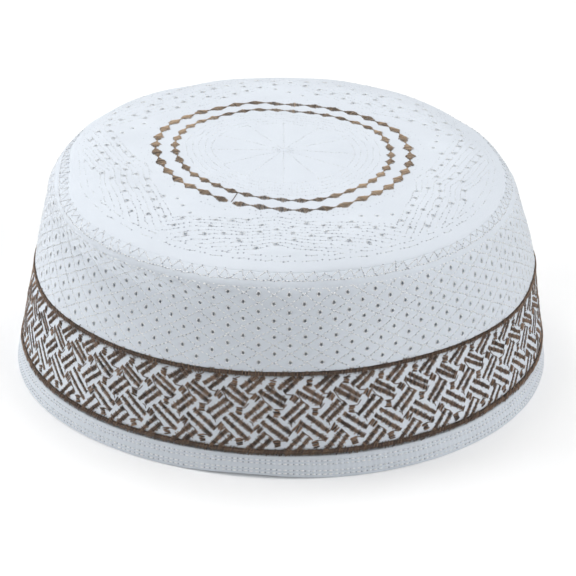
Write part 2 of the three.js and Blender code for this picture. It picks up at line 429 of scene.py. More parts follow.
def clothMapNode(tree):
    return node(tree, "ShaderNodeUVMap", {"uv_map": "clothMap"}, {}).outputs[0]


def plainWeaveGroup():  # warp over weft, on the cloth's own millimetre map
    group, start, end = newGroup(
        "plainWeave",
        [("Cloth Map", "NodeSocketVector", None), ("Yarns per mm", "NodeSocketFloat", 2.6),
         ("Unevenness", "NodeSocketFloat", 0.25)],
        [("Height", "NodeSocketFloat"), ("Yarn Shade", "NodeSocketFloat")])
    wobble = node(group, "ShaderNodeTexNoise", {"noise_dimensions": "2D"},
                  {"Vector": start["Cloth Map"], "Scale": groupLook["wobbleScale"],
                   "Detail": groupLook["wobbleDetail"]})
    push = vectorNode(group, "SCALE", {0: wobble.outputs["Color"], "Scale": start["Unevenness"]})
    moved = vectorNode(group, "ADD", {0: start["Cloth Map"], 1: push})
    scaled = vectorNode(group, "SCALE", {0: moved, "Scale": start["Yarns per mm"]})
    axes = node(group, "ShaderNodeSeparateXYZ", {}, {0: scaled}).outputs
    warp, weft = (mathNode(group, "SINE", mathNode(group, "MULTIPLY", axes[k], 2 * math.pi)) for k in (0, 1))
    cross = mathNode(group, "MULTIPLY", warp, weft)
    ribs = mathNode(group, "ADD", mathNode(group, "ABSOLUTE", warp), mathNode(group, "ABSOLUTE", weft))
    height = mathNode(group, "ADD", mathNode(group, "MULTIPLY", cross, groupLook["crossings"]),
                      mathNode(group, "MULTIPLY", ribs, groupLook["ribs"]))
    # painted shade: lower where the yarns dip, so the cloth is darker there
    shade = mathNode(group, "MULTIPLY_ADD", height, 0.5, 0.5)
    setSockets(group, end, {"Height": height, "Yarn Shade": shade})
    return group


def softWearGroup():  # slow drift of whiteness and a little handling grey
    group, start, end = newGroup(
        "softWear",
        [("Clean Colour", "NodeSocketColor", (1, 1, 1, 1)),
         ("Worn Colour", "NodeSocketColor", (0.8, 0.8, 0.8, 1)),
         ("Amount", "NodeSocketFloat", 0.3), ("Patch Size", "NodeSocketFloat", 30.0)],
        [("Color", "NodeSocketColor"), ("Wear", "NodeSocketFloat")])
    place = node(group, "ShaderNodeTexCoord", {}, {}).outputs["Object"]
    broad = node(group, "ShaderNodeTexNoise", {},
                 {"Vector": place, "Scale": start["Patch Size"], "Detail": groupLook["wearDetail"],
                  "Roughness": groupLook["wearRoughness"]})
    patch = node(group, "ShaderNodeMapRange", {},
                 {"Value": broad.outputs["Fac"], "From Min": groupLook["wearFrom"],
                  "From Max": groupLook["wearTo"]})
    wear = mathNode(group, "MULTIPLY", patch.outputs[0], start["Amount"])
    colour = mixColour(group, wear, start["Clean Colour"], start["Worn Colour"])
    setSockets(group, end, {"Color": colour, "Wear": wear})
    return group


def threadTwistGroup():  # plied thread: slanted strands along it, each thread in its own tone
    group, start, end = newGroup(
        "threadTwist",
        [("Dark Colour", "NodeSocketColor", (0.1, 0.1, 0.1, 1)),
         ("Light Colour", "NodeSocketColor", (1, 1, 1, 1)),
         ("Painted Hole Shade", "NodeSocketColor", (0.2, 0.2, 0.2, 1)), ("Turns per mm", "NodeSocketFloat", 3.0),
         ("Tone Spread", "NodeSocketFloat", 1.0), ("Ridge Light", "NodeSocketFloat", 0.5)],
        [("Color", "NodeSocketColor"), ("Height", "NodeSocketFloat"), ("Hole", "NodeSocketFloat")])
    tone, hole = (node(group, "ShaderNodeAttribute", {"attribute_name": mark}, {}).outputs["Fac"]
                  for mark in ("tone", "hole"))
    axes = node(group, "ShaderNodeSeparateXYZ", {}, {0: clothMapNode(group)}).outputs
    along = mathNode(group, "MULTIPLY", axes[0], start["Turns per mm"])
    slanted = mathNode(group, "MULTIPLY", mathNode(group, "ADD", along, axes[1]), 2 * math.pi)
    strand = mathNode(group, "MULTIPLY_ADD", mathNode(group, "SINE", slanted), 0.5, 0.5)
    level = mathNode(group, "MULTIPLY_ADD", mathNode(group, "SUBTRACT", tone, 0.5),
                     start["Tone Spread"], 0.5)
    level = mathNode(group, "MULTIPLY_ADD", mathNode(group, "SUBTRACT", strand, 0.5),
                     groupLook["strandShade"], level)
    # painted highlight along the middle of each thread and painted shade at its sides, as strong as Ridge
    # Light
    offRidge = mathNode(group, "ABSOLUTE", mathNode(group, "MULTIPLY_ADD", axes[1], 2.0, -1.0))
    level = mathNode(group, "MULTIPLY_ADD", mathNode(group, "SUBTRACT", 0.5, offRidge),
                     start["Ridge Light"], level)
    level = node(group, "ShaderNodeClamp", {}, {"Value": level}).outputs[0]
    plain = mixColour(group, level, start["Dark Colour"], start["Light Colour"])
    # painted shade: needle-hole discs take the hole shade colour
    colour = mixColour(group, hole, plain, start["Painted Hole Shade"])
    setSockets(group, end, {"Color": colour, "Height": strand, "Hole": hole})
    return group


groups = {"weave": plainWeaveGroup(), "wear": softWearGroup(), "twist": threadTwistGroup()}


def newMaterial(name):
    material = bpy.data.materials.new(name)
    material.use_nodes = True
    return material, material.node_tree, material.node_tree.nodes["Principled BSDF"]


def placeGroup(tree, key, values):
    return node(tree, "ShaderNodeGroup", {"node_tree": groups[key]}, values).outputs


def bumpNode(tree, height, strength, distance):
    values = {"Height": height, "Strength": strength, "Distance": distance}
    return node(tree, "ShaderNodeBump", {}, values).outputs["Normal"]


def cottonCloth(name, colour, greyForWearAndWeaveShade, settings):
    material, tree, shader = newMaterial(name)
    weave = placeGroup(tree, "weave", {
        "Cloth Map": clothMapNode(tree), "Yarns per mm": settings["yarnsPerMm"],
        "Unevenness": settings["unevenness"]})
    wear = placeGroup(tree, "wear", {
        "Clean Colour": colour, "Worn Colour": greyForWearAndWeaveShade, "Amount": settings["wear"],
        "Patch Size": settings["patches"]})
    # painted shade in the weave's dips, in the same grey as the wear
    shaded = mixColour(tree, weave["Yarn Shade"], greyForWearAndWeaveShade, wear["Color"])
    setSockets(tree, shader, {
        "Base Color": mixColour(tree, settings["yarnShade"], wear["Color"], shaded),
        "Roughness": mathNode(tree, "MULTIPLY_ADD", wear["Wear"], settings["wornRoughness"],
                              settings["roughness"]),
        "Normal": bumpNode(tree, weave["Height"], settings["bump"], settings["bumpHeight"] * mm),
        "Sheen Weight": settings["sheen"], "Sheen Roughness": settings["sheenRoughness"],
        "Specular IOR Level": settings["specular"],
    })
    return material


def sewingThread(name, dark, light, hole, settings):
    material, tree, shader = newMaterial(name)
    twist = placeGroup(tree, "twist", {
        "Dark Colour": dark, "Light Colour": light, "Painted Hole Shade": hole,
        "Turns per mm": settings["turnsPerMm"], "Tone Spread": settings["toneSpread"],
        "Ridge Light": settings["ridgeLight"]})
    setSockets(tree, shader, {
        "Base Color": twist["Color"],
        "Roughness": mathNode(tree, "MULTIPLY_ADD", twist["Hole"], settings["holeRoughness"],
                              settings["roughness"]),
        "Normal": bumpNode(tree, twist["Height"], settings["bump"], settings["bumpHeight"] * mm),
        "Sheen Weight": settings["sheen"], "Specular IOR Level": settings["specular"],
    })
    return material


finishes = {
    "whiteCloth": (0.76, 0.81, 0.87, 1), "greyCloth": (0.6, 0.65, 0.72, 1),
    "hemCloth": (0.75, 0.8, 0.86, 1), "sideCloth": (0.73, 0.78, 0.84, 1),
    "whiteThread": (0.97, 0.98, 0.99, 1), "paleThread": (0.8, 0.84, 0.89, 1),
    # painted shade: the colour of the needle holes' shadows
    "paintedNeedleShade": (0.4, 0.43, 0.49, 1),
    "darkBrown": (0.03, 0.018, 0.013, 1), "tanBrown": (0.38, 0.25, 0.17, 1),
    "lightTan": (0.56, 0.41, 0.28, 1),
}
clothSettings = {
    "yarnsPerMm": 2.2, "unevenness": 0.25, "wear": 0.25, "patches": 28.0, "yarnShade": 0.25,
    "roughness": 0.85, "wornRoughness": 0.15, "bump": 0.35, "bumpHeight": 0.2, "sheen": 0.15,
    "sheenRoughness": 0.5, "specular": 0.25,
}
cottonSettings = {
    "turnsPerMm": 2.5, "toneSpread": 1.0, "ridgeLight": 0.1, "roughness": 0.4, "holeRoughness": 0.3,
    "bump": 0.4, "bumpHeight": 0.1, "sheen": 0.2, "specular": 0.5,
}
satinSettings = {
    "turnsPerMm": 3.2, "toneSpread": 1.0, "ridgeLight": 0.9, "roughness": 0.42, "holeRoughness": 0.3,
    "bump": 0.5, "bumpHeight": 0.1, "sheen": 0.1, "specular": 0.4,
}
# name, colour, what differs from the plain cloth
cloths = {
    "crown": ("crownCotton", "whiteCloth", {}),
    "side": ("sideCotton", "sideCloth", {}),
    "band": ("bandCotton", "whiteCloth", {"yarnsPerMm": 1.8}),
    "hem": ("hemCotton", "hemCloth", {"yarnsPerMm": 2.8, "bump": 0.5}),
}
# name, dark and light colour, painted shade colour of its needle holes, settings
sewingThreads = {
    "whiteThread": ("whiteThread", "paleThread", "whiteThread", "paintedNeedleShade", cottonSettings),
    "brownThread": ("brownSatinThread", "darkBrown", "tanBrown", "darkBrown", satinSettings),
    "diamondThread": ("diamondSatinThread", "darkBrown", "lightTan", "darkBrown", satinSettings),
}
materials = {}
for key, (name, colour, changes) in cloths.items():
    materials[key] = cottonCloth(name, finishes[colour], finishes["greyCloth"], {**clothSettings, **changes})
for key, (name, dark, light, hole, settings) in sewingThreads.items():
    materials[key] = sewingThread(name, finishes[dark], finishes[light], finishes[hole], settings)
print("materials ready:", sorted(materials))

# Side panel: lattice cells sewn down along their edges, an eyelet in the middle of each
sideLook = {
    "cellsAround": 52, "cellHeight": 6.2, "phase": 0.25, "lowestEyelet": 4.1, "rows": 9,
    "holeRadius": 0.56, "holeNarrow": 0.78, "ringLift": 0.06, "ringWidth": 0.5, "ringHeight": 0.12,
    "edgePoints": 3, "thickness": 1.4, "cutLow": 0.9, "cutHigh": 31.6, "mapPerDegree": 1.5,
    # share of the way from a cell's edge to its eyelet, lift of the cloth there
    "puff": [(0, -0.02), (0.1, 0.0), (0.3, 0.05), (0.6, 0.08), (0.84, 0.05), (1, -0.04)],
    # rows below and above the lattice: up from the band top, lift
    "below": [(0.5, -0.5), (0.2, -1.6), (0.0, -2.7), (-2.0, -2.7), (-4.6, -2.7)],
    "above": [(32.7, 0.02), (33.15, -0.04), (33.6, 0.02), (34.4, 0.02), (35.2, 0.02), (36.0, -0.08),
              (36.4, -0.3), (36.7, -1.2), (37.0, -2.3), (39.0, -2.3)],
    # where the stitched cloth was pulled out of line: turn, spread, up, tall, degrees round, millimetres up
    "drifts": [(30, 24, 30, 22, -1.7, 0.0), (22, 22, 14, 9, 0.0, 1.1), (-44, 22, 28, 16, 0.8, -0.7)],
    "driftFade": (5, 3),  # it fades out over these heights at the band and at the crown
}
degreesPerCell = 360 / sideLook["cellsAround"]


def drifted(turn, along):
    turn = np.asarray(turn, float)
    up = np.asarray(along, float) - bandAlong
    wallLength = seamAlong - bandAlong
    low, high = sideLook["driftFade"]
    fade = np.clip(up / low, 0, 1) * np.clip((wallLength - up) / high, 0, 1)
    turnShift, upShift = 0.0, 0.0
    for middle, spread, height, tall, shiftRound, shiftUp in sideLook["drifts"]:
        near = nearness(turn, middle, spread, up, height, tall) * fade
        turnShift, upShift = turnShift + near * shiftRound, upShift + near * shiftUp
    return turn + turnShift, along + upShift + seamRise(turn) * np.clip(up / wallLength, 0, 1)**2


def eyeletPlaces(rows):
    look = sideLook
    turns, alongs = [], []
    for row in rows:
        shift = look["phase"] + (0.5 if row % 2 else 0)
        turns.append((np.arange(look["cellsAround"]) + shift) * degreesPerCell)
        up = look["lowestEyelet"] + row * look["cellHeight"] / 2
        alongs.append(np.full(look["cellsAround"], bandAlong + up))
    return np.concatenate(turns), np.concatenate(alongs)


def latticeSheet():  # laid flat: degrees round, millimetres up the cloth, lift out of it
    look = sideLook
    corners = np.array([(1, 0), (0, 1), (-1, 0), (0, -1)], float)
    steps = look["edgePoints"]
    edge = np.array([corners[k] + (corners[(k + 1) % 4] - corners[k]) * i / steps
                     for k in range(4) for i in range(steps)])
    sheet = bmesh.new()
    for rows, hole in ((range(look["rows"]), look["holeRadius"]), ((-1, look["rows"]), 0.0)):
        for turn, along in zip(*eyeletPlaces(rows)):
            perDegree = mmPerDegree(along)
            rim = edge * [degreesPerCell / 2 * perDegree, look["cellHeight"] / 2]
            circle = rim / np.linalg.norm(rim, axis=1)[:, None] * [hole * look["holeNarrow"], hole]
            rings = []
            for share, lift in look["puff"]:
                spot = rim * (1 - share) + circle * share
                rings.append([sheet.verts.new((turn + x / perDegree, along + y, lift)) for x, y in spot])
            for outer, inner in zip(rings, rings[1:]):
                for k in range(len(edge)):
                    after = (k + 1) % len(edge)
                    sheet.faces.new((outer[k], outer[after], inner[after], inner[k]))
    bmesh.ops.remove_doubles(sheet, verts=sheet.verts, dist=0.002)
    return sheet


def trimSheet(sheet):  # cut straight below and above the lattice, then plain rows of cloth added
    look = sideLook
    for height, way in ((look["cutLow"], -1), (look["cutHigh"], 1)):
        bmesh.ops.bisect_plane(sheet, geom=[*sheet.verts, *sheet.edges, *sheet.faces], dist=0.0001,
                               plane_co=(0, bandAlong + height, 0), plane_no=(0, way, 0), clear_outer=True)
    for start, rows in ((look["cutLow"], look["below"]), (look["cutHigh"], look["above"])):
        level = bandAlong + start
        edges = [edge for edge in sheet.edges
                 if edge.is_boundary and all(abs(vert.co.y - level) < 0.01 for vert in edge.verts)]
        for up, lift in rows:
            made = bmesh.ops.extrude_edge_only(sheet, edges=edges)["geom"]
            for vert in (item for item in made if isinstance(item, bmesh.types.BMVert)):
                vert.co.y = bandAlong + up
                vert.co.z = lift
            edges = [item for item in made if isinstance(item, bmesh.types.BMEdge)]


def wrapSheet(sheet):  # from flat onto the cap, with the outside facing out
    layer = sheet.loops.layers.uv.new("clothMap")
    for face in sheet.faces:
        for loop in face.loops:
            loop[layer].uv = (loop.vert.co.x * sideLook["mapPerDegree"], loop.vert.co.y)
    flat = np.array([vert.co for vert in sheet.verts])
    for vert, place in zip(sheet.verts, clothPoint(*drifted(flat[:, 0], flat[:, 1]), flat[:, 2]) * mm):
        vert.co = place
    bmesh.ops.remove_doubles(sheet, verts=sheet.verts, dist=0.00002)
    bmesh.ops.recalc_face_normals(sheet, faces=sheet.faces)
    outward = 0
    for face in list(sheet.faces)[:200]:
        middle = face.calc_center_median()
        outward += face.normal.dot(Vector((middle.x, middle.y, 0)))
    if outward < 0:
        bmesh.ops.reverse_faces(sheet, faces=sheet.faces)


def makeSideCloth():
    sheet = latticeSheet()
    trimSheet(sheet)
    wrapSheet(sheet)
    mesh = bpy.data.meshes.new("side_cloth")
    sheet.to_mesh(mesh)
    sheet.free()
    mesh.shade_smooth()
    piece = addToScene(bpy.data.objects.new("side_cloth", mesh))
    thicken(piece, sideLook["thickness"])
    dress(piece, materials["side"], "side_cotton", "side_panel")


makeSideCloth()

# White sewing on the side panel: the lattice, and straight rows above it
latticeLook = {
    "stitch": 1.05, "pitch": 1.5, "width": 0.46, "height": 0.09, "lift": 0.0, "arch": 0.04,
    "holeRadius": 0.22, "holeLift": 0.07, "holeShare": 0.55, "wander": 0.3, "tone": (0.6, 1),
    "topGap": 0.6, "measuredUp": 16,  # stitches are counted for the cap's girth this far up the wall
    "rows": [(30.75, 1.65), (33.1, 1.2)],  # up, pitch
}
zigzagLook = {
    "low": 33.5, "high": 36.1, "count": 124, "ragged": 0.28, "steps": 3, "width": 0.42, "height": 0.08,
    "lift": 0.05, "arch": 0.02, "tone": (0.2, 0.9), "holeRadius": 0.242, "holeLift": 0.1,
    "cornerHoles": 0.75, "otherHoles": 0.35,
}


def sewPath(work, turns, alongs, look):
    turns, alongs = drifted(turns, alongs)
    starts = clothPoint(turns[:-1], alongs[:-1], look["lift"])
    ends = clothPoint(turns[1:], alongs[1:], look["lift"])
    normals = clothNormal((turns[:-1] + turns[1:]) / 2, (alongs[:-1] + alongs[1:]) / 2)
    gap = (1 - look["stitch"] / look["pitch"]) / 2
    ahead = ends - starts
    count = len(starts)
    side = np.cross(normals, ahead)
    side /= np.linalg.norm(side, axis=1)[:, None]
    drift = side * ragged(count, look["wander"])[:, None] * 0.5
    work.sew(starts + ahead * gap + drift, ends - ahead * gap + drift, normals,
             look["width"], look["height"], look["arch"], stitchShape, dice.uniform(*look["tone"], count))
    work.prick(starts + drift, normals, look["holeRadius"], look["holeLift"], look["holeShare"])


def makeLattice():
    look, side = latticeLook, sideLook
    work = ThreadWork()
    low, high = side["cutLow"], side["cutHigh"] - look["topGap"]
    slope = side["cellHeight"] / degreesPerCell  # millimetres up for each degree round
    length = math.hypot((high - low) / slope * mmPerDegree(bandAlong + look["measuredUp"]), high - low)
    ups = between(low, high, np.linspace(0, 1, int(length / look["pitch"]) + 1))
    for way in (-1, 1):
        for cell in range(side["cellsAround"]):
            middle = (cell + side["phase"] + 0.5) * degreesPerCell
            sewPath(work, middle + way * (ups - side["lowestEyelet"]) / slope, bandAlong + ups, look)
    for up, pitch in look["rows"]:
        count = int(2 * math.pi * radiusAt(bandAlong + up) / pitch)
        sewPath(work, np.linspace(0, 360, count + 1), np.full(count + 1, bandAlong + up), look)
    dress(work.piece("lattice_stitches"), materials["whiteThread"], "side_cotton")


def makeZigzag():  # over the seam, under the crown's edge
    look = zigzagLook
    work = ThreadWork()
    count = look["count"] * 2
    turns = np.arange(count + 1) * 360 / count + ragged(count + 1, look["ragged"])
    ups = np.where(np.arange(count + 1) % 2 == 0, look["low"], look["high"])
    ups = ups + ragged(count + 1, look["ragged"])
    turns[-1], ups[-1] = turns[0] + 360, ups[0]
    for k in range(look["steps"]):
        shares = k / look["steps"], (k + 1) / look["steps"]
        turnA, turnB = (between(turns[:-1], turns[1:], share) for share in shares)
        upA, upB = (between(ups[:-1], ups[1:], share) for share in shares)
        normals = clothNormal(*drifted((turnA + turnB) / 2, bandAlong + (upA + upB) / 2))
        starts = clothPoint(*drifted(turnA, bandAlong + upA), look["lift"])
        ends = clothPoint(*drifted(turnB, bandAlong + upB), look["lift"])
        work.sew(starts, ends, normals, look["width"], look["height"], look["arch"], stitchShape,
                 dice.uniform(*look["tone"], count))
        work.prick(starts, normals, look["holeRadius"], look["holeLift"],
                   look["cornerHoles"] if k == 0 else look["otherHoles"])
    dress(work.piece("seam_zigzag"), materials["whiteThread"], "side_cotton")


# Each eyelet is overcast with short stitches, set like spokes
spokeLook = {"spokes": 10, "cover": 4.94, "start": 0.92, "ragged": 0.12, "arch": 0.35, "tone": (0.8, 1)}


def makeEyeletRings(name, turn, along, look, slot):
    work = ThreadWork()
    centres, normals = clothPoint(turn, along, look["ringLift"]), clothNormal(turn, along)
    side, other = clothAxes(normals, [0.1, 0.3, 1.0])
    radius, width, spokes = look["holeRadius"], look["ringWidth"], spokeLook["spokes"]
    for k in range(spokes):
        angle = 2 * math.pi * (k + 0.5 * dice.random()) / spokes
        out = side * math.cos(angle) * look["holeNarrow"] + other * math.sin(angle)
        reach = (radius + width * (1 + ragged(len(centres), spokeLook["ragged"])))[:, None]
        work.sew(centres + out * radius * spokeLook["start"], centres + out * reach, normals,
                 spokeLook["cover"] * (radius + width / 2) / spokes, look["ringHeight"],
                 look["ringHeight"] * spokeLook["arch"], spokeShape,
                 dice.uniform(*spokeLook["tone"], len(centres)))
    dress(work.piece(name), materials["whiteThread"], slot)


makeLattice()
makeZigzag()
makeEyeletRings("side_eyelet_rings", *drifted(*eyeletPlaces(range(sideLook["rows"]))),
                sideLook, "side_cotton")

# Crown: five like sectors of eyelets round a stitched middle
crownLook = {
    "thickness": 1.7, "firstRing": 1.0, "ringStep": 1.125, "pointStep": 1.7,
    "edgeRadius": 78.9, "edgePoints": 300,
    "edgeGap": 0.5, "eyeletGap": 1.45,  # room that the cloth's points leave at its edge and round eyelets
    "sectors": 5, "columns": 14, "firstTurn": -2.1, "eyeletFloor": 53.7, "eyeletStep": 2.3,
    "holeRadius": 0.5, "holeNarrow": 1.0, "holeSides": 10, "holeRim": 0.6,
    "ringLift": -0.04, "ringWidth": 0.45, "ringHeight": 0.16,
    "stitchRings": [25.0, 27.25, 29.5, 31.75, 34.0, 47.6, 49.9, 73.1, 75.2], "ringPoints": 6,
    "rayCount": 12, "rayStart": 1.2, "rayReach": 25.0, "rayPoints": 40,
    "chords": [52.0, 54.1, 56.3, 58.4, 60.6, 62.6, 64.7, 66.5, 68.4, 70.0], "chordLimit": 72.3,
    "chordStep": 0.4, "chordBreak": 1.5,  # a step longer than this breaks a row
    "fewest": 5,  # a row with no more points than this is left out
    "chevronTurn": -2.0, "chevronReach": 9.0, "chevronDepth": 2.2,
    # the quilting: how the cloth puffs up between its rows, and sinks along them and at eyelets
    "puff": 0.12, "puffReach": 2.0, "groove": 0.02, "grooveWidth": 0.9,
    "holeDip": 0.2, "holeDipWidth": 1.0,
    "stitch": 1.1, "pitch": 1.85, "width": 0.34, "height": 0.03, "lift": 0.01, "arch": 0.01,
    "stitchGap": 1.0, "tone": (0, 0.6),
    # inside the rings of diamonds the rows are sewn tighter
    "middleReach": 40.0, "middleGroove": 0.045, "middleHeight": 0.055, "middleArch": 0.03,
    # needle holes, dark with painted shade, at the back and in front: larger and more of them towards the
    # front
    "holeDots": (0.16, 0.31), "holeShares": (0.4, 0.78), "holeLift": 0.07, "wander": 0.17, "frontFrom": 25,
    "rim": [(0.45, 0.08), (1.1, 0.03), (1.7, -0.06), (2.0, -0.3), (2.1, -0.9)],  # share to the seam, lift
}
# One sector of the eyelet chart: a line for each of its columns, the steps out at which it has an eyelet
eyeletChart = ["2 6", "1 3 5", "0 4", "1 3 5", "2 6", "1 3 7", "0 4 6", "1 5", "2 4 6", "3 7", "2 4 6",
               "1 5", "0 4 6", "1 3 7"]


def crownEyelets():
    look = crownLook
    reaches, turns = [], []
    for sector in range(look["sectors"]):
        for column, marks in enumerate(eyeletChart):
            for mark in marks.split():
                reaches.append(look["eyeletFloor"] + look["eyeletStep"] * int(mark))
                turns.append(sector * look["columns"] + column)
    step = 360 / look["sectors"] / look["columns"]
    return roundSpot(np.array(reaches), np.radians(look["firstTurn"] + np.array(turns) * step))


def nearestGap(spots, others):  # from each spot to the nearest of the others
    return np.linalg.norm(spots[:, None] - others[None], axis=2).min(axis=1)


def chordPath(distance, sector):  # a straight row across a sector, with a chevron in its middle
    look = crownLook
    reach = math.tan(math.pi / look["sectors"]) * distance
    across = np.arange(-reach, reach, look["chordStep"])
    middle = math.radians(look["chevronTurn"]) * distance
    dip = look["chevronDepth"] * np.maximum(0, 1 - np.abs(across - middle) / look["chevronReach"])
    out = distance - dip
    keep = np.hypot(across, out) < look["chordLimit"]
    turn = 2 * math.pi * sector / look["sectors"]
    x = across * math.cos(turn) + out * math.sin(turn)
    y = across * math.sin(turn) - out * math.cos(turn)
    return np.column_stack([x, y])[keep]


def crownPaths():
    look = crownLook
    paths = []
    for radius in look["stitchRings"]:
        paths.append(roundSpot(radius, np.linspace(0, 2 * math.pi, int(radius * look["ringPoints"]) + 1)))
    reach = np.linspace(look["rayStart"], look["rayReach"], look["rayPoints"])
    for ray in range(look["rayCount"]):
        paths.append(roundSpot(reach, 2 * math.pi * ray / look["rayCount"]))
    for sector in range(look["sectors"]):
        for distance in look["chords"]:
            path = chordPath(distance, sector)
            gaps = np.where(np.hypot(*np.diff(path, axis=0).T) > look["chordBreak"])[0] + 1
            paths += [part for part in np.split(path, gaps) if len(part) > look["fewest"]]
    return paths


def crownRelief(spots, eyelets):  # how far the quilting lifts the cloth or draws it down
    look = crownLook
    lines = np.vstack([path[::2] for path in crownPaths()])
    near = np.full(len(spots), 99.0)
    for part in np.array_split(np.arange(len(spots)), 12):  # in parts, to save memory
        for line in np.array_split(lines, 6):
            near[part] = np.minimum(near[part], nearestGap(spots[part], line))
    puffed = look["puff"] * np.clip(near / look["puffReach"], 0, 1)
    inMiddle = np.hypot(*spots.T) < look["middleReach"]
    groove = np.where(inMiddle, look["middleGroove"], look["groove"])
    groove = groove * np.exp(-(near / look["grooveWidth"]) ** 2)
    dip = look["holeDip"] * np.exp(-(nearestGap(spots, eyelets) / look["holeDipWidth"]) ** 2)
    return puffed - groove - dip


def crownNet(eyelets):  # flat points and faces, with a hole at each eyelet and an even edge
    look = crownLook
    rings = [np.zeros((1, 2))]
    radii = np.arange(look["firstRing"], look["edgeRadius"] - look["edgeGap"], look["ringStep"])
    for ring, radius in enumerate(radii):
        count = max(8, int(2 * math.pi * radius / look["pointStep"]))
        rings.append(roundSpot(radius, 2 * math.pi * (np.arange(count) + 0.5 * (ring % 2)) / count))
    spots = np.vstack(rings)
    spots = spots[nearestGap(spots, eyelets) > look["eyeletGap"]].tolist()
    links = []
    sides = look["holeSides"]
    for x, y in eyelets:
        links += [(len(spots) + k, len(spots) + (k + 1) % sides) for k in range(sides)]
        for radius in (look["holeRadius"], look["holeRadius"] + look["holeRim"]):
            for angle in 2 * math.pi * np.arange(sides) / sides:
                spots.append((x + radius * math.cos(angle), y + radius * math.sin(angle)))
    count = look["edgePoints"]
    links += [(len(spots) + k, len(spots) + (k + 1) % count) for k in range(count)]
    spots += roundSpot(look["edgeRadius"], 2 * math.pi * np.arange(count) / count).tolist()
    made = delaunay_2d_cdt([Vector(spot) for spot in spots], links, [], 0, 0.0001)
    flat = np.array([tuple(vert) for vert in made[0]])
    faces = np.array(made[2])
    inHole = nearestGap(flat[faces].mean(axis=1), eyelets) < look["holeRadius"] * 0.9
    return flat, faces[~inHole]


def makeCrownCloth():
    look = crownLook
    eyelets = crownEyelets()
    flat, faces = crownNet(eyelets)
    points = clothPoint(*crownPlace(*flat.T), crownRelief(flat, eyelets))
    faces = faces.tolist()
    count = look["edgePoints"]
    last = np.argsort(np.abs(np.hypot(*flat.T) - look["edgeRadius"]))[:count]
    last = last[np.argsort(np.arctan2(flat[last, 0], -flat[last, 1]))]
    turn = np.degrees(np.arctan2(flat[last, 0], -flat[last, 1]))
    inward = skinCurve[crownStart:, 0][::-1]
    edgeAlong = float(np.interp(look["edgeRadius"], inward, skinAlong[crownStart:][::-1]))
    uv = flat
    for share, lift in look["rim"]:  # the edge turns down over the seam
        row = len(points) + np.arange(count)
        along = between(edgeAlong, seamAlong, share) + seamRise(turn)
        points = np.vstack([points, clothPoint(turn, along, lift)])
        out = look["edgeRadius"] + share * (edgeAlong - seamAlong)
        uv = np.vstack([uv, roundSpot(out, np.radians(turn))])
        for k in range(count):
            after = (k + 1) % count
            faces.append([int(last[k]), int(row[k]), int(row[after]), int(last[after])])
        last = row
    piece = makeMesh("crown_cloth", points, faces, uv)
    work = bmesh.new()
    work.from_mesh(piece.data)
    bmesh.ops.recalc_face_normals(work, faces=work.faces)
    if sum(face.normal.z for face in work.faces) < 0:
        bmesh.ops.reverse_faces(work, faces=work.faces)
    work.to_mesh(piece.data)
    work.free()
    thicken(piece, look["thickness"])
    dress(piece, materials["crown"], "crown_cotton", "crown_panel")


def evenSteps(path, pitch):
    length = lengthAlong(path)
    count = max(1, int(round(length[-1] / pitch)))
    at = np.linspace(0, length[-1], count + 1)
    return np.column_stack([np.interp(at, length, path[:, k]) for k in (0, 1)])


def makeCrownStitches():
    look = crownLook
    work = ThreadWork()
    eyelets = crownEyelets()
    gap = (1 - look["stitch"] / look["pitch"]) / 2
    for path in crownPaths():
        spots = evenSteps(path, look["pitch"])
        spots = spots + dice.normal(0, look["wander"], spots.shape)
        starts, ends = spots[:-1], spots[1:]
        clear = nearestGap((starts + ends) / 2, eyelets) > look["stitchGap"]
        starts, ends = starts[clear], ends[clear]
        if not len(starts):
            continue
        normals = clothNormal(*crownPlace(*((starts + ends) / 2).T))
        one = clothPoint(*crownPlace(*starts.T), look["lift"])
        two = clothPoint(*crownPlace(*ends.T), look["lift"])
        ahead = two - one
        inMiddle = np.hypot(*spots[0]) < look["middleReach"]
        height = look["middleHeight"] if inMiddle else look["height"]
        arch = look["middleArch"] if inMiddle else look["arch"]
        work.sew(one + ahead * gap, two - ahead * gap, normals, look["width"], height, arch,
                 stitchShape, dice.uniform(*look["tone"], len(starts)))
        front = np.clip(-starts[:, 1] / look["frontFrom"] - 1, 0, 1)
        work.prick(one, normals, between(*look["holeDots"], front), look["holeLift"],
                   between(*look["holeShares"], front))
    dress(work.piece("crown_stitches"), materials["whiteThread"], "crown_cotton")


makeCrownCloth()
makeCrownStitches()
makeEyeletRings("crown_eyelet_rings", *crownPlace(*crownEyelets().T), crownLook, "crown_cotton")

# Brown diamonds in two rings, satin stitched across
diamondLook = {
    "count": 39, "firstTurn": -0.5, "tip": 0.15, "pitch": 0.5, "slant": 0.12, "lift": 0.16,
    "width": 0.4, "height": 0.2, "arch": 0.22, "leastArch": 0.06, "ragged": 0.15, "leastRagged": 0.3,
    "blunt": 1.12,  # sides drawn this much steeper, so that tips and middles are blunt
    "drift": (-98, 42, 2.6),  # where the diamonds crowd on: turn, spread, degrees
    # painted sheen: how light the satin is painted round the ring, where the real threads catch the light:
    # turn, tone
    "sheenTones": [(-180, 0.3), (-150, 0.4), (-125, 0.85), (-108, 0.75), (-90, 0.35), (-72, 0.4), (-48, 0.7),
              (-28, 0.4), (0, 0.2), (18, 0.3), (32, 0.85), (55, 0.9), (85, 0.4), (115, 0.7), (150, 0.3),
              (180, 0.3)],
    "toneSpread": 0.22,
    # piece, node, radius, half a diamond's width, where the ring is broken: turn and half the gap
    "rings": [("outer_diamonds", "outer_diamond_ring", 44.65, 1.95, (-24.0, 1.25)),
              ("inner_diamonds", "inner_diamond_ring", 37.9, 1.68, None)],
}
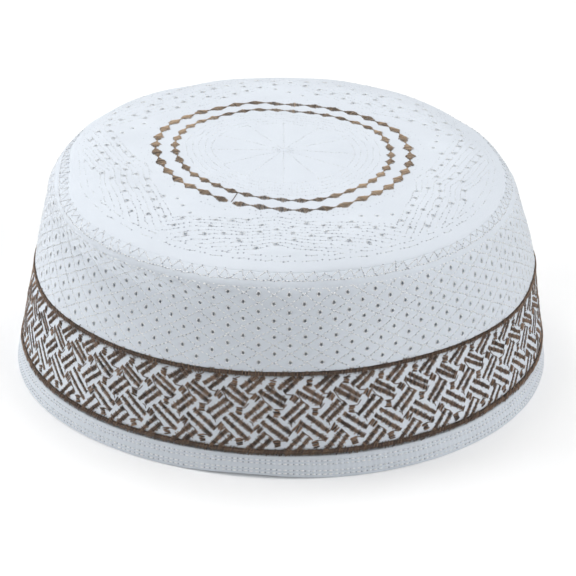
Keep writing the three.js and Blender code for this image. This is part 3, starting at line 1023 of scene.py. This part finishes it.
# The run of thread left between the two rings: turn and radius of its ends
jumpLook = {"from": (-23.4, 44.3), "to": (-24.2, 38.4), "bow": 0.1, "steps": 6,
            "width": 0.32, "height": 0.22, "lift": 0.15, "tone": 0.35}


def crownThread(work, starts, ends, lift, width, height, arch, shape, tone):
    normals = clothNormal(*crownPlace(*((starts + ends) / 2).T))
    work.sew(clothPoint(*crownPlace(*starts.T), lift), clothPoint(*crownPlace(*ends.T), lift), normals,
             width, height, arch, shape, tone)


def makeDiamonds():
    look = diamondLook
    for name, node, radius, half, broken in look["rings"]:
        work = ThreadWork()
        count = int(2 * math.pi * radius / look["pitch"])
        turn = np.arange(count) * 360 / count - 180
        if broken:
            turn = turn[np.abs(turn - broken[0]) > broken[1]]
        count = len(turn)
        middle, spread, shift = look["drift"]
        crowded = shift * np.exp(-((turn - middle) / spread) ** 2)
        phase = ((turn - look["firstTurn"] + crowded) * look["count"] / 360 + 0.5) % 1
        share = 1 - np.abs(phase - 0.5) * 2
        steep = np.clip(share * look["blunt"] - (look["blunt"] - 1) / 2, 0, 1)
        reach = between(look["tip"], half, steep)
        rough = look["ragged"] * np.clip(share * 2, look["leastRagged"], 1)
        inner = radius - reach + ragged(count, 1) * rough
        outer = radius + reach + ragged(count, 1) * rough
        tone = np.interp(turn, *zip(*look["sheenTones"])) + ragged(count, look["toneSpread"])
        crownThread(work, roundSpot(inner, np.radians(turn - look["slant"])),
                    roundSpot(outer, np.radians(turn + look["slant"])), look["lift"],
                    look["width"], look["height"], look["arch"] * share + look["leastArch"], cordShape,
                    np.clip(tone, 0, 1))
        dress(work.piece(name), materials["diamondThread"], "brown_satin", node)


def makeJumpThread():
    look = jumpLook
    t = np.linspace(0, 1, look["steps"] + 1)
    turn = between(look["from"][0], look["to"][0], t) + look["bow"] * np.sin(math.pi * t)
    path = roundSpot(between(look["from"][1], look["to"][1], t), np.radians(turn))
    work = ThreadWork()
    crownThread(work, path[:-1], path[1:], look["lift"], look["width"], look["height"], 0.0, plainShape,
                look["tone"])
    dress(work.piece("jump_thread"), materials["brownThread"], "brown_satin")


makeDiamonds()
makeJumpThread()

# Headband: plain cloth between the borders, with the basketweave on it
bandLook = {
    "columns": 540, "rowStep": 1.4, "thickness": 1.1, "mapPerDegree": 1.6,
    # lift of the cloth at each end: up from the border's middle, lift
    "edge": [(-1.6, -1.3), (0.2, -1.3), (0.6, -0.6), (1.0, -0.2)],
}


def rowFaces(rows, columns, closed=False, flip=False):  # faces between rows of points round the cap
    faces = []
    for row in range(rows if closed else rows - 1):
        below, above = row * columns, (row + 1) % rows * columns
        if flip:
            below, above = above, below
        for k in range(columns):
            after = (k + 1) % columns
            faces.append([below + k, below + after, above + after, above + k])
    return faces


def turnedSheet(name, rows, columns, closed=False):  # rows: up the cloth, lift
    turns = np.arange(columns) * 360 / columns
    points = [clothPoint(turns, along, lift) for along, lift in rows]
    uv = [np.column_stack([turns * bandLook["mapPerDegree"], np.full(columns, along)]) for along, _ in rows]
    return makeMesh(name, np.vstack(points), rowFaces(len(rows), columns, closed), np.vstack(uv))


def makeBandCloth():
    look = bandLook
    low = [(hemAlong + up, lift) for up, lift in look["edge"]]
    high = [(bandAlong - up, lift) for up, lift in reversed(look["edge"])]
    step = look["rowStep"]
    middle = [(along, 0.0) for along in np.arange(low[-1][0] + step, high[0][0] - 0.5, step)]
    piece = turnedSheet("band_cloth", low + middle + high, look["columns"])
    thicken(piece, look["thickness"])
    dress(piece, materials["band"], "band_cotton", "headband")


# One repeat of the basketweave, in degrees round and millimetres up the cloth
weaveLook = {
    "repeat": 8.0, "middleAlong": 22.0, "threadLift": 0.05,
    # satin bars, each from one end to the other
    "bars": [
        ((-0.8, 31.5), (2.3, 35.2)), ((0.5, 30.1), (3.8, 35.0)),
        ((-3.4, 31.5), (0.5, 27.3)), ((-4.7, 30.2), (0.0, 25.6)),
        ((-7.7, 21.2), (-4.1, 26.6)), ((-6.3, 20.1), (-2.7, 25.3)),
        ((-2.8, 21.7), (1.6, 16.2)), ((-4.2, 19.7), (0.9, 13.4)),
        ((-6.9, 10.2), (-3.7, 15.8)), ((-4.8, 10.2), (-2.4, 14.0)),
    ],
    "barWidth": 1.82, "sideNarrow": 0.2, "barGrow": 0.3, "shake": 0.12, "barTone": (0.34, 0.08),
    "threadPitch": 0.54, "threadWidth": 0.41, "threadHeight": 0.12, "arch": 0.06,
    "endRagged": 0.2, "slip": 0.09,
    # padding under each bar, in parts that follow the band's curve; its dark tone is painted shade for the
    # gaps between the threads
    "padParts": 5, "padWidth": 1.05, "padHeight": 0.05, "padShadeTone": -0.6,
    # stubs: middle, tilt of their strokes from level in degrees, stroke length, number of strokes
    "stubs": [
        ((-2.2, 33.1), -12, 1.9, 5), ((-5.7, 28.1), 52, 2.3, 5), ((-1.2, 22.9), -8, 1.8, 5),
        ((-5.0, 17.3), 52, 2.3, 5), ((-1.0, 12.1), 14, 2.0, 5),
    ],
    "stubStep": 0.5, "stubWidth": 0.5, "stubHeight": 0.2, "stubArch": 0.12, "stubTone": 0.36,
    "stubGrow": 0.56, "stubShake": 0.15, "stubRagged": (0.08, 0.06, 0.12, 0.12),  # along, up, lean, length
    # runs of thread from bar to bar
    "runs": [
        ((-1.9, 24.3), (0.0, 24.2), (0.9, 26.0)), ((0.4, 30.0), (0.8, 29.3), (2.0, 29.2)),
        ((-5.0, 30.0), (-4.3, 28.2), (-3.9, 27.2)), ((-3.9, 27.1), (-2.9, 25.8)),
        ((-6.9, 19.7), (-6.3, 19.2), (-6.1, 18.2)), ((0.8, 13.2), (-0.9, 13.3), (-2.0, 12.5)),
        ((-3.6, 15.9), (-2.6, 14.9), (-2.2, 13.6)), ((-1.2, 35.0), (-2.2, 34.3)),
    ],
    "runWidth": 0.32, "runHeight": 0.16, "runArch": 0.05, "runTone": 0.3,
}
repeats = int(360 / weaveLook["repeat"])
offsets = np.arange(repeats) * weaveLook["repeat"]
weaveDegree = mmPerDegree(weaveLook["middleAlong"])  # millimetres round in one degree, halfway up the band


def wallThread(work, turnA, alongA, turnB, alongB, lift, width, height, arch, shape, tone):
    normals = clothNormal((turnA + turnB) / 2, (alongA + alongB) / 2)
    work.sew(clothPoint(turnA, alongA, lift), clothPoint(turnB, alongB, lift), normals,
             width, height, arch, shape, tone)


def sewBar(work, start, end):  # one bar of the repeat, all round the band
    look = weaveLook
    (turnA, alongA), (turnB, alongB) = start, end
    acrossMm, upMm = (turnB - turnA) * weaveDegree, alongB - alongA
    length = math.hypot(acrossMm, upMm)
    grow = look["barGrow"] / length
    turnA, turnB = turnA - (turnB - turnA) * grow, turnB + (turnB - turnA) * grow
    alongA, alongB = alongA - upMm * grow, alongB + upMm * grow
    sideX, sideY = -upMm / length, acrossMm / length
    shakes = [ragged(repeats, look["shake"]) for _ in range(4)]
    barTone = np.clip(look["barTone"][0] + ragged(repeats, look["barTone"][1]), 0, 1)
    turnA, turnB = turnA + offsets + shakes[0] / weaveDegree, turnB + offsets + shakes[1] / weaveDegree
    alongA, alongB = alongA + shakes[2], alongB + shakes[3]
    for part in range(look["padParts"]):
        shares = part / look["padParts"], (part + 1) / look["padParts"]
        turnOne, turnTwo = (between(turnA, turnB, share) for share in shares)
        alongOne, alongTwo = (between(alongA, alongB, share) for share in shares)
        wallThread(work, turnOne, alongOne, turnTwo, alongTwo, look["threadLift"],
                   look["padWidth"], look["padHeight"], 0.0, padShape, look["padShadeTone"])
    count = int(length * (1 + 2 * grow) / look["threadPitch"])
    for k in range(count + 1):
        turn, along = between(turnA, turnB, k / count), between(alongA, alongB, k / count)
        wide = look["barWidth"] / 2 * (1 - look["sideNarrow"] * np.sin(np.radians(turn)) ** 2)
        left, right = (wide * (1 + ragged(repeats, look["endRagged"])) for _ in range(2))
        slip = ragged(repeats, look["slip"])
        wallThread(work, turn - sideX * left / weaveDegree, along - sideY * left - slip,
                   turn + sideX * right / weaveDegree, along + sideY * right + slip, look["threadLift"],
                   look["threadWidth"], look["threadHeight"], look["arch"], satinShape,
                   barTone + lightOrDark(repeats))


def sewStub(work, middle, tilt, length, strokes):
    look = weaveLook
    turn, along = middle[0] + offsets, middle[1]
    angle = math.radians(tilt)
    shiftX, shiftY = ragged(repeats, look["stubShake"]), ragged(repeats, look["stubShake"])
    for k in range(strokes):
        off = (k - (strokes - 1) / 2) * look["stubStep"]
        roughX, roughY, roughLean, roughHalf = (ragged(repeats, size) for size in look["stubRagged"])
        x = -math.sin(angle) * off + shiftX + roughX
        y = math.cos(angle) * off + shiftY + roughY
        half = length * look["stubGrow"] + roughHalf
        dx, dy = np.cos(angle + roughLean) * half, np.sin(angle + roughLean) * half
        wallThread(work, turn + (x - dx) / weaveDegree, along + y - dy,
                   turn + (x + dx) / weaveDegree, along + y + dy, look["threadLift"],
                   look["stubWidth"], look["stubHeight"], look["stubArch"], satinShape,
                   look["stubTone"] + lightOrDark(repeats))


def makeBasketweave():
    look = weaveLook
    work = ThreadWork()
    for start, end in look["bars"]:
        sewBar(work, start, end)
    dress(work.piece("basketweave_bars"), materials["brownThread"], "brown_satin")
    work = ThreadWork()
    for stub in look["stubs"]:
        sewStub(work, *stub)
    for run in look["runs"]:
        for (turnA, alongA), (turnB, alongB) in zip(run, run[1:]):
            wallThread(work, turnA + offsets, np.full(repeats, alongA),
                       turnB + offsets, np.full(repeats, alongB), look["threadLift"],
                       look["runWidth"], look["runHeight"], look["runArch"], satinShape, look["runTone"])
    dress(work.piece("basketweave_runs"), materials["brownThread"], "brown_satin")


borderLook = {
    "pitch": 0.54, "width": 0.35, "height": 0.2, "lift": 0.1, "arch": 0.22, "ragged": 0.28,
    # painted highlight and shade: every second thread lighter and darker, as threads side by side catch the
    # light in turn
    "tone": 0.36, "toneStep": 0.15,  # every second thread is darker
    # painted sheen: how strongly single threads stand out
    "paintedSheen": 0.6,  # how strongly single threads stand out
    # name, middle up the cloth, half its width, slant of its stitches in degrees
    "borders": [("upper_border", bandAlong, 0.84, 6), ("lower_border", hemAlong, 0.98, 22)],
    "core": [(-0.6, -0.9), (-0.6, 0.0), (-0.4, 0.2), (0, 0.27), (0.4, 0.2), (0.6, 0.0), (0.6, -0.9)],
    "coreColumns": 360,
}


def makeBorders():
    look = borderLook
    for node, middle, half, slant in look["borders"]:
        work = ThreadWork()
        count = int(2 * math.pi * radiusAt(middle) / look["pitch"])
        turns = np.arange(count) * 360 / count
        high, low = (half + ragged(count, look["ragged"]) for _ in range(2))
        lean = math.tan(math.radians(slant)) / mmPerDegree(middle)
        tone = look["tone"] + look["toneStep"] * np.where(np.arange(count) % 2, 1, -1)
        wallThread(work, turns - low * lean, middle - low, turns + high * lean, middle + high, look["lift"],
                   look["width"], look["height"], look["arch"], cordShape,
                   tone + look["paintedSheen"] * lightOrDark(count))
        dress(work.piece(node + "_satin"), materials["brownThread"], "brown_satin", node)


def makeBorderCores():  # the laid cord that the satin covers
    for node, middle, _, _ in borderLook["borders"]:
        rows = [(middle + up, lift) for up, lift in borderLook["core"]]
        piece = turnedSheet(node + "_core", rows, borderLook["coreColumns"], closed=True)
        for mark in ("tone", "hole"):
            piece.data.attributes.new(mark, "FLOAT", "POINT")
        dress(piece, materials["brownThread"], "brown_satin")


makeBandCloth()
makeBasketweave()
makeBorders()
makeBorderCores()

# Hem binding: a narrow tape folded round the bottom edge and sewn with four rows
hemLook = {
    "stitches": 314, "perStitch": 4, "stitchRows": [6.0, 4.8, 2.5, 1.3], "pitch": 1.9, "stitch": 1.3,
    "width": 0.5, "height": 0.26, "lift": -0.06, "arch": 0.14, "tone": (0.2, 1), "wander": 0.1,
    "holeRadius": 0.25, "holeLift": 0.1, "holeShare": 0.85, "pucker": 0.06, "mapPerDegree": 1.66,
    # up the cloth, lift: outside up, then round the bottom and up the inside
    "section": [(7.9, -0.9), (7.9, -0.25), (7.6, 0.0), (6.7, 0.14), (6.0, -0.08), (5.4, 0.1), (4.8, -0.08),
                (3.7, 0.16), (2.5, -0.08), (1.9, 0.1), (1.3, -0.08), (0.7, 0.08), (0.25, -0.1), (0.05, -0.5),
                (0.0, -1.2), (0.0, -2.4), (0.05, -3.2), (0.5, -3.6), (3.5, -3.7), (7.6, -3.7), (7.9, -3.5),
                (7.9, -2.9)],
}


def makeHem():
    look = hemLook
    columns = look["stitches"] * look["perStitch"]
    turns = np.arange(columns) * 360 / columns
    pucker = -look["pucker"] * np.cos(np.radians(turns) * look["stitches"])
    points, uv = [], []
    for along, lift in look["section"]:
        outside = lift > -0.3 and along > 0.3
        row = clothPoint(turns, along, lift + (pucker if outside else 0))
        row[:, 2] = np.maximum(row[:, 2], 0)  # the bottom edge lies flat on what it stands on
        points.append(row)
        uv.append(np.column_stack([turns * look["mapPerDegree"],
                                   np.full(columns, along if outside else along - lift)]))
    faces = rowFaces(len(points), columns, closed=True, flip=True)
    piece = makeMesh("hem_cloth", np.vstack(points), faces, np.vstack(uv))
    dress(piece, materials["hem"], "hem_cotton", "hem_binding")
    work = ThreadWork()
    count = look["stitches"] + 1
    for up in look["stitchRows"]:
        sewPath(work, np.linspace(0, 360, count), np.full(count, up), look)
    dress(work.piece("hem_stitches"), materials["whiteThread"], "hem_cotton")


makeHem()

# Floor, light and camera, in metres
stageLook = {
    "floorSize": 8.0, "floorColour": (0.97, 0.97, 0.97, 1), "floorShade": (0.9603, 0.9603, 0.9603, 1),
    "floorGrain": 6.0, "floorRoughness": 0.9, "floorGlow": 0.05,
    "sky": (0.93, 0.96, 1.0, 1), "skyStrength": 0.01, "lampAim": (0, 0, 0.04),
    "insideGlow": 0.002, "insideSize": 0.02, "insidePlace": (0, 0, 0.03),
    "lamps": {  # place, size, power
        "topSoft": ((0.0, 0.25, 1.3), (1.1, 1.1), 14.5),
        "leftSoft": ((-1.297, 0.09, 0.5), (0.9, 0.8), 12.0),
        "rightSoft": ((1.256, -0.336, 0.5), (0.9, 0.8), 4.6),
        "frontRightSoft": ((0.836, -0.996, 0.9), (0.9, 0.8), 6.3),
    },
}
cameraLook = {"target": (0.00189, 0.0, 0.02376), "distance": 1.3, "elevation": 26.47,
              "focalPixels": 3663.8, "imagePixels": 576, "sensor": 36.0, "farthest": 50}


def makeFloor():
    look = stageLook
    half = look["floorSize"] / 2
    corners = np.array([(-half, -half, 0), (half, -half, 0), (half, half, 0), (-half, half, 0)])
    floor = makeMesh("studio_floor", corners / mm, [[0, 1, 2, 3]], smooth=False)
    material, tree, shader = newMaterial("studioFloor")
    grain = node(tree, "ShaderNodeTexNoise", {}, {"Scale": look["floorGrain"]})
    setSockets(tree, shader, {
        "Base Color": mixColour(tree, grain.outputs["Fac"], look["floorColour"], look["floorShade"]),
        "Roughness": look["floorRoughness"],
        "Emission Color": (1, 1, 1, 1), "Emission Strength": look["floorGlow"],
    })
    floor.data.materials.append(material)


def makeLamp(name, kind, place, power):
    data = bpy.data.lights.new(name, kind)
    data.energy = power
    lamp = addToScene(bpy.data.objects.new(name, data))
    lamp.location = place
    lamp.visible_camera = False
    return lamp


def makeLamps():
    look = stageLook
    for name, (place, size, power) in look["lamps"].items():
        lamp = makeLamp(name, "AREA", place, power)
        lamp.data.shape = "RECTANGLE"
        lamp.data.size, lamp.data.size_y = size
        lamp.rotation_euler = (Vector(look["lampAim"]) - Vector(place)).to_track_quat("-Z", "Y").to_euler()
    glow = makeLamp("lightThroughCotton", "POINT", look["insidePlace"], look["insideGlow"])
    glow.data.shadow_soft_size = look["insideSize"]
    world = bpy.data.worlds.new("studioSky")
    bpy.context.scene.world = world
    world.use_nodes = True
    background = world.node_tree.nodes["Background"]
    setSockets(world.node_tree, background, {"Color": look["sky"], "Strength": look["skyStrength"]})


def makeCamera():
    look = cameraLook
    data = bpy.data.cameras.new("photoCamera")
    data.sensor_width = look["sensor"]
    data.lens = look["focalPixels"] / look["imagePixels"] * look["sensor"]
    data.clip_end = look["farthest"]
    camera = addToScene(bpy.data.objects.new("photoCamera", data))
    lift = math.radians(look["elevation"])
    back = Vector((0, -math.cos(lift), math.sin(lift)))
    camera.location = Vector(look["target"]) + back * look["distance"]
    camera.rotation_euler = (-back).to_track_quat("-Z", "Y").to_euler()
    bpy.context.scene.camera = camera


makeFloor()
makeLamps()
makeCamera()
bpy.context.scene.view_settings.view_transform = "Standard"
print("stage ready")
